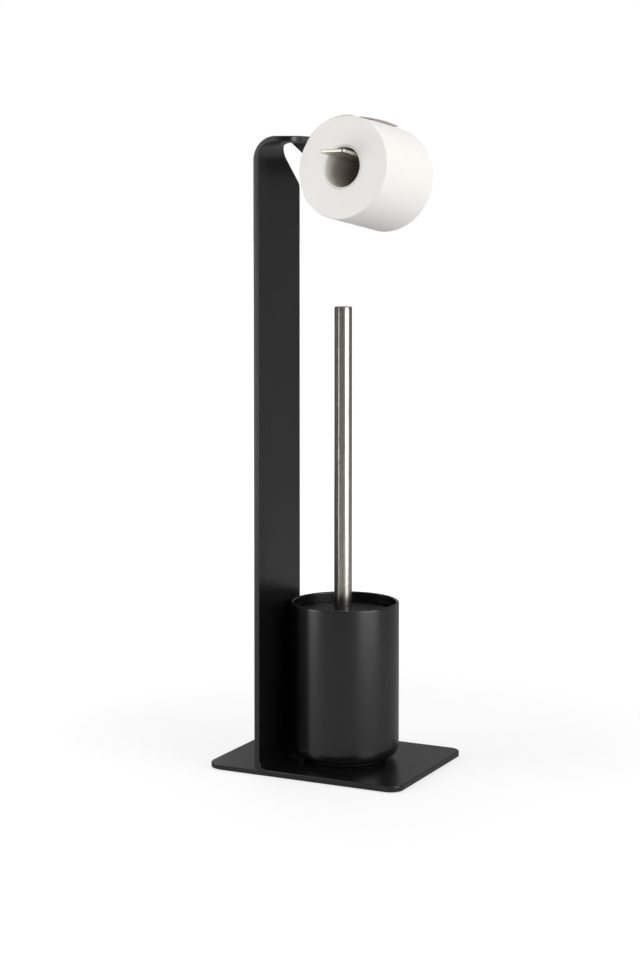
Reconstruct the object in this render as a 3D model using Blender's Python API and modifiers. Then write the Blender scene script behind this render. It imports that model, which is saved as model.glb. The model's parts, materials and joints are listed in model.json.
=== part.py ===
"""Free-standing toilet paper holder with a brush in its cup.

A flat steel strip stands on a base plate and is bent over at the top. Its arm
runs back and down beside the paper roll and carries a stainless bar that
reaches forward through the roll's core. +Z is up, -Y is the front, and the
origin is the centre of the underside of the anti-slip mat.
"""
import math

import bmesh
import bpy
from mathutils import Matrix, Vector

MM = 0.001
GAP = 0.3 * MM              # clearance between pieces that touch
MERGE = 0.00001

# Base: anti-slip mat and steel plate
BASE_WIDTH = 228.0 * MM
BASE_DEPTH = 176.0 * MM
BASE_CORNER = 14.0 * MM
MAT_THICK = 0.5 * MM
MAT_INSET = 2.5 * MM
PLATE_THICK = 6.3 * MM
BASE_TOP = MAT_THICK + GAP + PLATE_THICK
FRONT_Y = -BASE_DEPTH / 2

FILLET = 8.5 * MM            # ground fillet weld at the upright's foot

# Upright strip and its top arm, cut flat and then bent
STRIP_THICK = 6.0 * MM
STRIP_WIDTH = 98.0 * MM
STRIP_FACE_X = -49.5 * MM    # right face of the upright
STRIP_TOP = 684.5 * MM
EDGE_ROUND = 0.9 * MM
FOLD_RADIUS = 22.5 * MM      # middle of the sheet, upright to arm
FOLD_STEPS = 14
NECK_DEPTH = 42.0 * MM       # sheet left in front of the relief notch
NOTCH_ROUND = 3.5 * MM
NOTCH_FOOT = 634.5 * MM      # where the notch leaves the upright's back edge
NOTCH_TOP = 678.5 * MM
LIMB_LEFT = 16.0 * MM        # arm's left and right edges, from the upright's face
LIMB_RIGHT = 44.0 * MM
ARM_RIGHT = 133.0 * MM
ARM_BRIDGE = 32.0 * MM       # depth of the arm behind the roll
DROP_START = 42.5 * MM       # where the arm starts to run down, from the front
DROP_ANGLE = math.radians(22.5)
DROP_RADIUS = 13.0 * MM
DROP_STEPS = 4
SEAT_DEPTH = 34.0 * MM       # last flat stretch, which the bar is screwed to

# Paper roll, and the frame of its axis
ROLL_RADIUS = 55.0 * MM
ROLL_LENGTH = 93.0 * MM
CORE_RADIUS = 23.0 * MM
CORE_BORE = 21.4 * MM
ROLL_NEAR = Vector((47.7 * MM, FRONT_Y + 3.1 * MM, 651.4 * MM))
ROLL_TILT = math.radians(8.7)
ROLL_YAW = math.radians(7.6)
ROLL_STEPS = 64

# Stainless bar and its screws, in the roll's frame
BAR_WIDTH = 30.0 * MM
BAR_THICK = 3.2 * MM
BAR_RISE = 14.8 * MM         # bar's top face above the roll's axis
BAR_TIP = 22.5 * MM          # how far the bar stands out in front of the roll
BAR_TAIL = 152.0 * MM
SCREW_AT = (127.0 * MM, 143.0 * MM)
SCREW_SHANK = 2.3 * MM
SCREW_HEAD = 4.7 * MM
SCREW_HEAD_HIGH = 2.7 * MM
SOCKET_FLATS = 3.0 * MM
ARM_HOLE = 2.8 * MM
BAR_HOLE = 2.6 * MM

# Cup, liner and foot
CUP_X = 10.3 * MM
CUP_Y = 0.0
CUP_RADIUS = 59.3 * MM
CUP_WALL = 3.0 * MM
CUP_TOP = 179.8 * MM
CUP_ROUND_WIDE = 6.5 * MM    # lower edge: a quarter ellipse
CUP_ROUND_HIGH = 12.0 * MM
FOOT_HIGH = 5.0 * MM
FOOT_RADIUS = 45.0 * MM
LINER_PLAY = 0.6 * MM
LINER_WALL = 1.8 * MM
LINER_ROUND = 10.0 * MM
LINER_LIP = 4.4 * MM         # how far the liner's rim reaches in, to carry the lid
LINER_TOP = 165.4 * MM
CUP_FLOOR = BASE_TOP + FOOT_HIGH

# Brush, which stands a little off the middle of its cup
BRUSH_X = CUP_X - 2.3 * MM
LID_RADIUS = 53.4 * MM
LID_THICK = 3.0 * MM
LID_LIP = 1.2 * MM
HANDLE_RADIUS = 9.8 * MM
HANDLE_WALL = 1.0 * MM
HANDLE_TOP = 502.0 * MM
CAP_HIGH = 1.8 * MM
STEM_RADIUS = 4.0 * MM
HEAD_RADIUS = 10.0 * MM
BRISTLE_RADIUS = 38.0 * MM
BRISTLE_LOW = 26.0 * MM
BRISTLE_HIGH = 108.0 * MM

TURN_STEPS = 56


def clear_scene():
    for obj in list(bpy.data.objects):
        bpy.data.objects.remove(obj, do_unlink=True)


def add_collection(name):
    collection = bpy.data.collections.new(name)
    bpy.context.scene.collection.children.link(collection)
    return collection


def add_material(name, colour, roughness, metallic):
    material = bpy.data.materials.new(name)
    material.use_nodes = True
    shader = material.node_tree.nodes["Principled BSDF"]
    shader.inputs["Base Color"].default_value = (*colour, 1.0)
    shader.inputs["Roughness"].default_value = roughness
    shader.inputs["Metallic"].default_value = metallic
    return material


def add_object(name, mesh, material, matrix=None, parent=None):
    """Link a mesh into the holder's collection at its place in the world."""
    obj = bpy.data.objects.new(name, mesh)
    mesh.materials.append(material)
    PARTS.objects.link(obj)
    obj.parent = parent
    obj.matrix_world = matrix or Matrix.Identity(4)
    return obj


def add_empty(name, matrix):
    empty = bpy.data.objects.new(name, None)
    PARTS.objects.link(empty)
    empty.matrix_world = matrix
    bpy.context.view_layer.update()
    return empty


def arc(centre, radius, start, end, steps):
    """Points of an arc from start to end, both in degrees."""
    points = []
    for i in range(steps + 1):
        angle = math.radians(start + (end - start) * i / steps)
        points.append((centre[0] + radius * math.cos(angle), centre[1] + radius * math.sin(angle)))
    return points


def rounded(corners, steps=6):
    """Outline through (x, y, radius) corners, each turned into a tangent arc."""
    outline = []
    for i, (x, y, radius) in enumerate(corners):
        here = Vector((x, y))
        if not radius:
            outline.append((x, y))
            continue
        before = Vector(corners[i - 1][:2]) - here
        after = Vector(corners[(i + 1) % len(corners)][:2]) - here
        before.normalize()
        after.normalize()
        half = before.angle(after) / 2
        centre = here + (before + after).normalized() * radius / math.sin(half)
        first = here + before * radius / math.tan(half) - centre
        turn = first.angle_signed(here + after * radius / math.tan(half) - centre)
        for k in range(steps + 1):
            angle = -turn * k / steps
            outline.append((centre.x + first.x * math.cos(angle) - first.y * math.sin(angle),
                            centre.y + first.x * math.sin(angle) + first.y * math.cos(angle)))
    return outline


def flat_blank(outline, thick, edge):
    """A flat plate cut to an outline, centred on Z = 0, with rounded edges."""
    curve = bpy.data.curves.new("outline", "CURVE")
    curve.dimensions = "2D"
    curve.fill_mode = "BOTH"
    curve.extrude = thick / 2
    spline = curve.splines.new("POLY")
    spline.points.add(len(outline) - 1)
    for point, (x, y) in zip(spline.points, outline):
        point.co = (x, y, 0.0, 1.0)
    spline.use_cyclic_u = True
    guide = bpy.data.objects.new("outline", curve)
    PARTS.objects.link(guide)
    bpy.context.view_layer.update()
    mesh = bpy.data.meshes.new_from_object(guide.evaluated_get(bpy.context.evaluated_depsgraph_get()))
    bpy.data.objects.remove(guide, do_unlink=True)
    blank = bmesh.new()
    blank.from_mesh(mesh)
    bmesh.ops.remove_doubles(blank, verts=blank.verts, dist=MERGE)
    bmesh.ops.dissolve_limit(blank, angle_limit=0.001, verts=blank.verts, edges=blank.edges)
    bmesh.ops.recalc_face_normals(blank, faces=blank.faces)
    if edge:
        rim = [e for e in blank.edges if e.calc_face_angle(0.0) > math.radians(60)
               and abs(e.verts[0].co.z - e.verts[1].co.z) < MERGE]
        bmesh.ops.bevel(blank, geom=rim, offset=edge, segments=2, profile=0.5, affect="EDGES")
    bpy.data.meshes.remove(mesh)
    return blank


def finish_mesh(name, blank):
    mesh = bpy.data.meshes.new(name)
    blank.to_mesh(mesh)
    blank.free()
    mesh.shade_smooth()
    mesh.set_sharp_from_angle(angle=math.radians(35))
    return mesh


def turned(name, profile, material, closed=False, steps=TURN_STEPS, matrix=None, parent=None):
    """A (radius, height) profile, run down its outer side, turned about Z."""
    mesh = bpy.data.meshes.new(name)
    edges = [(i, i + 1) for i in range(len(profile) - 1)]
    if closed:
        edges.append((len(profile) - 1, 0))
    mesh.from_pydata([(r, 0.0, z) for r, z in profile], edges, [])
    obj = add_object(name, mesh, material, matrix, parent)
    screw = obj.modifiers.new("turn", "SCREW")
    screw.steps = steps
    screw.render_steps = steps
    screw.use_merge_vertices = True
    screw.merge_threshold = MERGE
    screw.use_smooth_shade = True
    return obj


def ring(low, high, inner, outer):
    return [(outer, high), (outer, low), (inner, low), (inner, high)]


def cut(obj, cutter):
    boolean = obj.modifiers.new("cut", "BOOLEAN")
    boolean.operation = "DIFFERENCE"
    boolean.solver = "EXACT"
    boolean.object = cutter


def add_cutter(name, shapes, matrix):
    """Prisms or pins to cut with, as (x, y, radius, low, high, sides)."""
    body = bmesh.new()
    for x, y, radius, low, high, sides in shapes:
        place = Matrix.Translation((x, y, (low + high) / 2))
        bmesh.ops.create_cone(body, cap_ends=True, segments=sides, radius1=radius, radius2=radius,
                              depth=high - low, matrix=place)
    mesh = bpy.data.meshes.new(name)
    body.to_mesh(mesh)
    body.free()
    cutter = bpy.data.objects.new(name, mesh)
    CUTTERS.objects.link(cutter)
    cutter.matrix_world = matrix
    cutter.hide_render = True
    cutter.display_type = "WIRE"
    return cutter


def build_base():
    x, y = BASE_WIDTH / 2, BASE_DEPTH / 2
    plate = flat_blank(rounded([(-x, -y, BASE_CORNER), (x, -y, BASE_CORNER),
                                (x, y, BASE_CORNER), (-x, y, BASE_CORNER)]), PLATE_THICK, 1.2 * MM)
    add_object("base_plate", finish_mesh("base_plate", plate), BLACK_STEEL,
               Matrix.Translation((0, 0, BASE_TOP - PLATE_THICK / 2)))
    x -= MAT_INSET
    y -= MAT_INSET
    mat = flat_blank(rounded([(-x, -y, BASE_CORNER), (x, -y, BASE_CORNER),
                              (x, y, BASE_CORNER), (-x, y, BASE_CORNER)]), MAT_THICK, 0.0)
    add_object("base_mat", finish_mesh("base_mat", mat), BLACK_FOAM,
               Matrix.Translation((0, 0, MAT_THICK / 2)))


def drop_path(depth, slope_length):
    """Place and slope of the arm at a depth from the front, measured along it."""
    point = Vector((min(depth, DROP_START), STRIP_TOP - STRIP_THICK / 2))
    angle = 0.0
    left = depth - DROP_START
    stretches = ((DROP_ANGLE, DROP_RADIUS), (0.0, slope_length), (ROLL_TILT - DROP_ANGLE, DROP_RADIUS))
    for turn, size in stretches:
        if left <= 0:
            break
        length = abs(turn) * size if turn else size
        part = min(left, length) / length
        if turn:
            side = math.copysign(size, turn)
            end = angle + turn * part
            point += Vector((math.sin(end) - math.sin(angle), math.cos(end) - math.cos(angle))) * side
            angle = end
        else:
            point += Vector((math.cos(angle), -math.sin(angle))) * length * part
        left -= length
    if left > 0:
        point += Vector((math.cos(angle), -math.sin(angle))) * left
    return point, angle


def slope_to_bar():
    """Length of the arm's slope that brings its end down onto the bar."""
    normal = Vector((math.sin(ROLL_TILT), math.cos(ROLL_TILT)))
    bar_top = Vector((ROLL_NEAR.y - FRONT_Y, ROLL_NEAR.z)) + normal * BAR_RISE
    bends = DROP_START + (2 * DROP_ANGLE - ROLL_TILT) * DROP_RADIUS
    seat, _ = drop_path(bends + MERGE, MERGE)
    height = (seat - bar_top).dot(normal) - STRIP_THICK / 2 - GAP
    return height / math.sin(DROP_ANGLE - ROLL_TILT)


def bend_strip(blank, foot, fold, slope_length):
    """Bend the flat blank: (along the strip, across it, through it) to its place."""
    notch_side = fold + 25.0 * MM
    middle_x = -STRIP_THICK / 2
    fold_z = STRIP_TOP - STRIP_THICK / 2 - FOLD_RADIUS
    fold_length = FOLD_RADIUS * math.pi / 2
    for vert in blank.verts:
        along, across, through = vert.co
        if along <= fold:
            x, z = middle_x - through, foot + along
        elif along < fold + fold_length:
            angle = (along - fold) / FOLD_RADIUS
            x = middle_x + FOLD_RADIUS - (FOLD_RADIUS + through) * math.cos(angle)
            z = fold_z + (FOLD_RADIUS + through) * math.sin(angle)
        else:
            x = middle_x + FOLD_RADIUS + along - fold - fold_length
            z = fold_z + FOLD_RADIUS + through
        y = across
        if along > notch_side:
            (y, height), angle = drop_path(across, slope_length)
            rise = z - (fold_z + FOLD_RADIUS)
            y += rise * math.sin(angle)
            z = height + rise * math.cos(angle)
        vert.co = (STRIP_FACE_X + x, FRONT_Y + y, z)


def build_strip():
    """Upright and arm: one flat outline with a notch, folded over at the top."""
    foot = BASE_TOP + GAP
    fold = STRIP_TOP - STRIP_THICK / 2 - FOLD_RADIUS - foot
    fold_length = FOLD_RADIUS * math.pi / 2
    slope_length = slope_to_bar()
    flat_x = fold + fold_length - (FOLD_RADIUS - STRIP_THICK / 2)
    bend_in = DROP_START + DROP_ANGLE * DROP_RADIUS
    bend_out = bend_in + slope_length
    seat = bend_out + (DROP_ANGLE - ROLL_TILT) * DROP_RADIUS
    back = seat + SEAT_DEPTH
    bridge = back - ARM_BRIDGE - 12.0 * MM
    notch = math.asin((NOTCH_TOP - foot - fold) / FOLD_RADIUS) * FOLD_RADIUS
    outline = rounded([
        (0.0, 0.0, 0.0),
        (0.0, STRIP_WIDTH, 0.0),
        (NOTCH_FOOT - foot, STRIP_WIDTH, 8.0 * MM),
        (fold + notch, NECK_DEPTH, NOTCH_ROUND),
        (flat_x + LIMB_LEFT, NECK_DEPTH, NOTCH_ROUND),
        (flat_x + LIMB_LEFT, back, 14.0 * MM),
        (flat_x + ARM_RIGHT, back, 12.0 * MM),
        (flat_x + ARM_RIGHT, bridge, 12.0 * MM),
        (flat_x + LIMB_RIGHT, bridge, 14.0 * MM),
        (flat_x + LIMB_RIGHT, 0.0, 20.0 * MM),
    ])
    blank = flat_blank(outline, STRIP_THICK, EDGE_ROUND)
    creases = [((fold + fold_length * i / FOLD_STEPS, 0, 0), (1, 0, 0)) for i in range(FOLD_STEPS + 1)]
    for i in range(DROP_STEPS + 1):
        for start, end in ((DROP_START, bend_in), (bend_out, seat)):
            creases.append(((0, start + (end - start) * i / DROP_STEPS, 0), (0, 1, 0)))
    for point, normal in creases:
        bmesh.ops.bisect_plane(blank, geom=blank.verts[:] + blank.edges[:] + blank.faces[:],
                               dist=MERGE, plane_co=point, plane_no=normal)
    bend_strip(blank, foot, fold, slope_length)
    bmesh.ops.triangulate(blank, faces=blank.faces)
    strip = add_object("frame_strip", finish_mesh("frame_strip", blank), BLACK_STEEL)
    low = BAR_RISE - BAR_THICK
    holes = [(0.0, y, ARM_HOLE, low, BAR_RISE + 20 * MM, 20) for y in SCREW_AT]
    cut(strip, add_cutter("cutter_arm_holes", holes, ROLL_FRAME))


def build_weld():
    """Fillet weld in the corner between the upright's right face and the base."""
    outline = [(0.0, 0.0)] + arc((FILLET, FILLET), FILLET, 264, 186, 10)
    bead = flat_blank(outline, STRIP_WIDTH, 0.0)
    place = Matrix.Translation((STRIP_FACE_X + GAP, FRONT_Y + STRIP_WIDTH / 2, BASE_TOP + GAP))
    add_object("foot_weld", finish_mesh("foot_weld", bead), BLACK_STEEL,
               place @ Matrix.Rotation(math.radians(90), 4, "X"))


def build_bar():
    half = BAR_WIDTH / 2
    outline = rounded([(-half, -BAR_TIP, 3 * MM), (half, -BAR_TIP, 3 * MM),
                       (half, BAR_TAIL, 3 * MM), (-half, BAR_TAIL, 3 * MM)], 4)
    bar = add_object("roll_bar", finish_mesh("roll_bar", flat_blank(outline, BAR_THICK, 0.6 * MM)),
                     STAINLESS, ROLL_FRAME @ Matrix.Translation((0, 0, BAR_RISE - BAR_THICK / 2)))
    holes = [(0.0, y, BAR_HOLE, BAR_RISE - 8 * MM, BAR_RISE + 2 * MM, 20) for y in SCREW_AT]
    cut(bar, add_cutter("cutter_bar_holes", holes, ROLL_FRAME))
    seat = BAR_RISE + GAP + STRIP_THICK + GAP
    for i, y in enumerate(SCREW_AT, 1):
        place = ROLL_FRAME @ Matrix.Translation((0, y, seat))
        profile = [(0.0, SCREW_HEAD_HIGH), (0.62 * SCREW_HEAD, SCREW_HEAD_HIGH)]
        profile += [(0.9 * SCREW_HEAD, 0.6 * SCREW_HEAD_HIGH), (SCREW_HEAD, 0.2 * SCREW_HEAD_HIGH),
                    (SCREW_HEAD, 0.0), (SCREW_SHANK, 0.0), (SCREW_SHANK, -10.4 * MM), (0.0, -10.4 * MM)]
        screw = turned(f"bar_screw_{i}", profile, STAINLESS, steps=24, matrix=place)
        socket = [(0.0, 0.0, SOCKET_FLATS / math.sqrt(3), 0.9 * MM, 2 * SCREW_HEAD_HIGH, 6)]
        cut(screw, add_cutter(f"cutter_socket_{i}", socket, place))


def build_roll():
    axis = add_empty("roll_axis", ROLL_FRAME)
    place = ROLL_FRAME @ Matrix.Rotation(math.radians(-90), 4, "X")
    turned("toilet_paper", ring(0.0, ROLL_LENGTH, CORE_RADIUS + GAP, ROLL_RADIUS), PAPER,
           True, ROLL_STEPS, place, axis)
    turned("paper_core", ring(GAP, ROLL_LENGTH - GAP, CORE_BORE, CORE_RADIUS), CARDBOARD,
           True, ROLL_STEPS, place, axis)


def oval(centre, wide, high, start, end, steps):
    """Points of an ellipse's arc, as arc() gives a circle's."""
    return [(centre[0] + (x - centre[0]) * wide / high, z) for x, z in arc(centre, high, start, end, steps)]


def build_cup():
    """Steel cup with an oval lower edge, its rubber foot ring and its lipped liner."""
    place = Matrix.Translation((CUP_X, CUP_Y, 0))
    axis = add_empty("cup_slide", place)
    corner = (CUP_RADIUS - CUP_ROUND_WIDE, CUP_FLOOR + CUP_ROUND_HIGH)
    rim = CUP_WALL / 2
    cup = [(0.0, CUP_FLOOR + CUP_WALL)]
    cup += oval(corner, CUP_ROUND_WIDE - CUP_WALL, CUP_ROUND_HIGH - CUP_WALL, -90, 0, 7)
    cup += [(CUP_RADIUS - CUP_WALL, CUP_TOP - rim)]
    cup += arc((CUP_RADIUS - rim, CUP_TOP - rim), rim, 150, 30, 3)
    cup += [(CUP_RADIUS, CUP_TOP - rim)]
    cup += oval(corner, CUP_ROUND_WIDE, CUP_ROUND_HIGH, 0, -90, 8)
    cup += [(0.0, CUP_FLOOR)]
    turned("brush_cup", cup, BLACK_STEEL, matrix=place, parent=axis)
    turned("cup_foot", ring(BASE_TOP + GAP, CUP_FLOOR - GAP, FOOT_RADIUS - 6 * MM, FOOT_RADIUS),
           BLACK_RUBBER, True, matrix=place, parent=axis)

    floor = CUP_FLOOR + CUP_WALL + GAP
    outer = CUP_RADIUS - CUP_WALL - LINER_PLAY
    inner = outer - LINER_WALL
    corner = (outer - LINER_ROUND, floor + LINER_ROUND)
    liner = [(0.0, floor + LINER_WALL)]
    liner += arc(corner, LINER_ROUND - LINER_WALL, -90, 0, 6)
    liner += [(inner, LINER_TOP - LINER_WALL - LINER_LIP), (inner - LINER_LIP, LINER_TOP - LINER_WALL),
              (inner - LINER_LIP, LINER_TOP), (outer, LINER_TOP)]
    liner += arc(corner, LINER_ROUND, 0, -90, 7)
    liner += [(0.0, floor)]
    turned("cup_liner", liner, BLACK_PLASTIC, matrix=place, parent=axis)


def build_brush():
    place = Matrix.Translation((BRUSH_X, CUP_Y, 0))
    axis = add_empty("brush_lift", place)
    bore = STEM_RADIUS + GAP
    lid_low = LINER_TOP + GAP
    lid_top = lid_low + LID_THICK
    lid = [(LID_RADIUS - LID_LIP, lid_top), (LID_RADIUS, lid_top - LID_LIP), (LID_RADIUS, lid_low),
           (bore, lid_low), (bore, lid_top)]
    turned("splash_lid", lid, BLACK_PLASTIC, True, matrix=place, parent=axis)

    tube_low = lid_top + GAP
    tube_top = HANDLE_TOP - CAP_HIGH - GAP
    inside = HANDLE_RADIUS - HANDLE_WALL
    turned("handle_tube", ring(tube_low, tube_top, inside, HANDLE_RADIUS), STAINLESS,
           True, 40, place, axis)
    plug = inside - GAP
    cap = [(0.0, HANDLE_TOP), (HANDLE_RADIUS - 0.8 * MM, HANDLE_TOP),
           (HANDLE_RADIUS, HANDLE_TOP - 0.8 * MM), (HANDLE_RADIUS, HANDLE_TOP - CAP_HIGH),
           (plug, HANDLE_TOP - CAP_HIGH), (plug, HANDLE_TOP - 12 * MM), (0.0, HANDLE_TOP - 12 * MM)]
    turned("handle_cap", cap, STAINLESS, steps=40, matrix=place, parent=axis)
    insert_top = tube_low + 34 * MM
    turned("handle_insert", ring(tube_low, insert_top, bore, plug), BLACK_PLASTIC,
           True, 40, place, axis)

    collar_low = lid_low - GAP - 6 * MM
    head_top = BRISTLE_HIGH + 12 * MM
    stem = [(0.0, insert_top - 6 * MM), (STEM_RADIUS, insert_top - 6 * MM),
            (STEM_RADIUS, lid_low - GAP), (8 * MM, lid_low - GAP), (8 * MM, collar_low),
            (STEM_RADIUS, collar_low), (STEM_RADIUS, head_top - 22 * MM), (0.0, head_top - 22 * MM)]
    turned("brush_stem", stem, BLACK_PLASTIC, steps=32, matrix=place, parent=axis)
    socket = head_top - 24 * MM
    head = [(0.0, socket), (bore, socket), (bore, head_top), (HEAD_RADIUS - 3 * MM, head_top),
            (HEAD_RADIUS, BRISTLE_HIGH + 3 * MM)]
    head += arc((0.0, BRISTLE_LOW + HEAD_RADIUS + 4 * MM), HEAD_RADIUS, 0, -90, 5)
    turned("brush_head", head, BLACK_PLASTIC, steps=32, matrix=place, parent=axis)
    inner = HEAD_RADIUS + GAP
    round_low, round_high = 12 * MM, 6 * MM
    bristles = [(inner, BRISTLE_HIGH)]
    bristles += arc((BRISTLE_RADIUS - round_high, BRISTLE_HIGH - round_high), round_high, 90, 0, 4)
    bristles += arc((BRISTLE_RADIUS - round_low, BRISTLE_LOW + round_low), round_low, 0, -90, 5)
    bristles += [(inner, BRISTLE_LOW)]
    turned("brush_bristles", bristles, BRISTLE, True, 40, place, axis)


clear_scene()
PARTS = add_collection("toilet_paper_holder")
CUTTERS = add_collection("cutters")
ROLL_FRAME = (Matrix.Translation(ROLL_NEAR) @ Matrix.Rotation(-ROLL_TILT, 4, "X")
              @ Matrix.Rotation(-ROLL_YAW, 4, "Z"))
BLACK_STEEL = add_material("black_powder_coat", (0.012, 0.012, 0.013), 0.42, 0.0)
BLACK_FOAM = add_material("black_foam", (0.01, 0.01, 0.01), 0.9, 0.0)
BLACK_RUBBER = add_material("black_rubber", (0.01, 0.01, 0.01), 0.8, 0.0)
BLACK_PLASTIC = add_material("black_plastic", (0.012, 0.012, 0.012), 0.5, 0.0)
STAINLESS = add_material("brushed_stainless", (0.58, 0.56, 0.53), 0.3, 1.0)
PAPER = add_material("tissue_paper", (0.9, 0.89, 0.87), 0.9, 0.0)
CARDBOARD = add_material("grey_cardboard", (0.55, 0.47, 0.4), 0.9, 0.0)
BRISTLE = add_material("black_bristle", (0.02, 0.02, 0.02), 0.6, 0.0)
build_base()
build_strip()
build_weld()
build_bar()
build_roll()
build_cup()
build_brush()
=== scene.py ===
"""A free-standing toilet paper holder with a brush in its cup, in a plain studio.

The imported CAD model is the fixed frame, in metres: +Z up, -Y the front. Each
section below makes one piece of the holder, in the order it is put together.
"""
import json
import math

import bmesh
import bpy
import numpy as np
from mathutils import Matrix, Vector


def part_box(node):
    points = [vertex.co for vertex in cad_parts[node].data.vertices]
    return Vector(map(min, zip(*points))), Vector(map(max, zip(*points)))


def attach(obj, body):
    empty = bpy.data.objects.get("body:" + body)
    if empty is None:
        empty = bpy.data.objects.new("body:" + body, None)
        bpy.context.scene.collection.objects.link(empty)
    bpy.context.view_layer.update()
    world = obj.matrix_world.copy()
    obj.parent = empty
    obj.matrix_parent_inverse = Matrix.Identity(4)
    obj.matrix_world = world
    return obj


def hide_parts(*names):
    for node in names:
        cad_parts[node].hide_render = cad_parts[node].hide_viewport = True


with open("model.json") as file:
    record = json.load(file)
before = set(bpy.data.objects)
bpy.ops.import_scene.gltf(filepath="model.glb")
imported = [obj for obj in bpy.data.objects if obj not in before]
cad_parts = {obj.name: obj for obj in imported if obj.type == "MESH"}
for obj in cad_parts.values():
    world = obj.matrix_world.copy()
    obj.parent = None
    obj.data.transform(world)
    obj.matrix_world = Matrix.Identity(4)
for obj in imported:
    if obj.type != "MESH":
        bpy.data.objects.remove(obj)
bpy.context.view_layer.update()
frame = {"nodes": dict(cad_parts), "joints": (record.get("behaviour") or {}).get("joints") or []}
MM = 0.001
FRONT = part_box("base_plate")[0].y


# The studio: a white floor that fades into a white background. A broad soft
# light hangs overhead, one at the front left and one at the right draw an
# upright stripe each on the round pieces, and a weak one fills in the back.
def linear(colour):
    """The linear colour of an sRGB hex value, with an alpha of 1."""
    parts = np.array([int(colour[i:i + 2], 16) for i in (1, 3, 5)]) / 255
    return (*np.where(parts <= 0.04045, parts / 12.92, ((parts + 0.055) / 1.055) ** 2.4), 1.0)


def add(tree, kind, settings=None, **links):
    """Adds a node. settings holds properties or unlinked inputs, and links the outputs it reads."""
    node = tree.nodes.new(kind)
    for name, value in (settings or {}).items():
        if hasattr(node, name):
            setattr(node, name, value)
        else:
            node.inputs[name].default_value = value
    for name, output in links.items():
        tree.links.new(output, node.inputs[name.replace("_", " ")])
    return node


def skin(name, points, faces, smooth=True):
    """A mesh object of points, a sequence of (x, y, z), and faces, indices into them."""
    mesh = bpy.data.meshes.new(name)
    mesh.from_pydata(np.asarray(points, float).tolist(), [], [list(map(int, face)) for face in faces])
    piece = bpy.data.objects.new(name, mesh)
    bpy.context.scene.collection.objects.link(piece)
    if smooth:
        mesh.shade_smooth()
    return piece


def material(name, roughness, metallic=0.0, ior=1.5):
    """A new Principled material with constant gloss. Returns it, its node tree and its shader."""
    made = bpy.data.materials.new(name)
    made.use_nodes = True
    shader = made.node_tree.nodes["Principled BSDF"]
    shader.inputs["Roughness"].default_value = roughness
    shader.inputs["Metallic"].default_value = metallic
    shader.inputs["IOR"].default_value = ior
    return made, made.node_tree, shader


def grid_faces(rows, columns, wrap_rows=False, wrap_columns=False):
    """Quads between the points of a rows by columns grid, as an array of index rows."""
    i = np.arange(rows if wrap_rows else rows - 1)[:, None]
    j = np.arange(columns if wrap_columns else columns - 1)[None, :]
    near, far = i * columns, (i + 1) % rows * columns
    left, right = j, (j + 1) % columns
    return np.stack([near + left, near + right, far + right, far + left], -1).reshape(-1, 4)


def merge_skin(piece):
    """Closes a piece's seams and poles by merging the points that coincide."""
    mesh = bmesh.new()
    mesh.from_mesh(piece.data)
    bmesh.ops.remove_doubles(mesh, verts=mesh.verts, dist=0.0001 * MM)
    mesh.to_mesh(piece.data)
    mesh.free()
    piece.data.shade_smooth()


def surface(name, points, wrap=False, uv=None):
    """A skin on a grid of points, rows by columns.

    wrap closes the columns, and uv is a grid of (u, v) for the same points.
    """
    rows, columns = points.shape[:2]
    faces = grid_faces(rows, columns, wrap_columns=wrap)
    piece = skin(name, points.reshape(-1, 3), faces)
    if uv is not None:
        layer = piece.data.uv_layers.new(name="surface")
        layer.data.foreach_set("uv", uv.reshape(-1, 2)[faces.ravel()].ravel())
    merge_skin(piece)
    return piece


FLOOR_RADIUS = 30.0
GLOW_NEAR, GLOW_FAR = 0.62, 1.0
GLOW_FROM, GLOW_TO = 0.3, 1.6
turn = np.linspace(0, 2 * math.pi, 97)[:, None]
reach = FLOOR_RADIUS * np.linspace(0, 1, 9)[None, :] ** 2
disc = np.stack([reach * np.cos(turn), reach * np.sin(turn), 0 * turn * reach], 2)
floor = surface("studio_floor", disc)
floor.data.flip_normals()
paper, tree, shader = material("white_paper_floor", 0.9)
shader.inputs["Base Color"].default_value = linear("#a0a0a0")
place = add(tree, "ShaderNodeTexCoord")
away = add(tree, "ShaderNodeVectorMath", {"operation": "LENGTH"})
tree.links.new(place.outputs["Object"], away.inputs[0])
glow = add(tree, "ShaderNodeMapRange",
           {"From Min": GLOW_FROM, "From Max": GLOW_TO, "To Min": GLOW_NEAR, "To Max": GLOW_FAR},
           Value=away.outputs["Value"])
rays = add(tree, "ShaderNodeLightPath")
seen = add(tree, "ShaderNodeMath", {"operation": "MULTIPLY"})
tree.links.new(glow.outputs["Result"], seen.inputs[0])
tree.links.new(rays.outputs["Is Camera Ray"], seen.inputs[1])
shader.inputs["Emission Color"].default_value = (1, 1, 1, 1)
tree.links.new(seen.outputs["Value"], shader.inputs["Emission Strength"])
floor.data.materials.append(paper)

# The white room is dim where glossy surfaces mirror it, apart from low behind.
DIM_LOW, DIM_HIGH, DIM_BEHIND = 0.015, 0.12, 0.2
FILL = 0.58
world = bpy.data.worlds.new("studio")
bpy.context.scene.world = world
world.use_nodes = True
tree = world.node_tree
tree.nodes.clear()
rays = add(tree, "ShaderNodeLightPath")
place = add(tree, "ShaderNodeTexCoord")
split = add(tree, "ShaderNodeSeparateXYZ", None, Vector=place.outputs["Generated"])
dusk = add(tree, "ShaderNodeMapRange",
           {"From Min": 0.0, "From Max": 0.25, "To Min": DIM_LOW, "To Max": DIM_HIGH},
           Value=split.outputs["Z"])
behind = add(tree, "ShaderNodeMapRange",
             {"From Min": 0.7, "From Max": 0.97, "To Min": 0.0, "To Max": DIM_BEHIND},
             Value=split.outputs["Y"])
dim = add(tree, "ShaderNodeMath", {"operation": "ADD"})
tree.links.new(dusk.outputs["Result"], dim.inputs[0])
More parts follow.
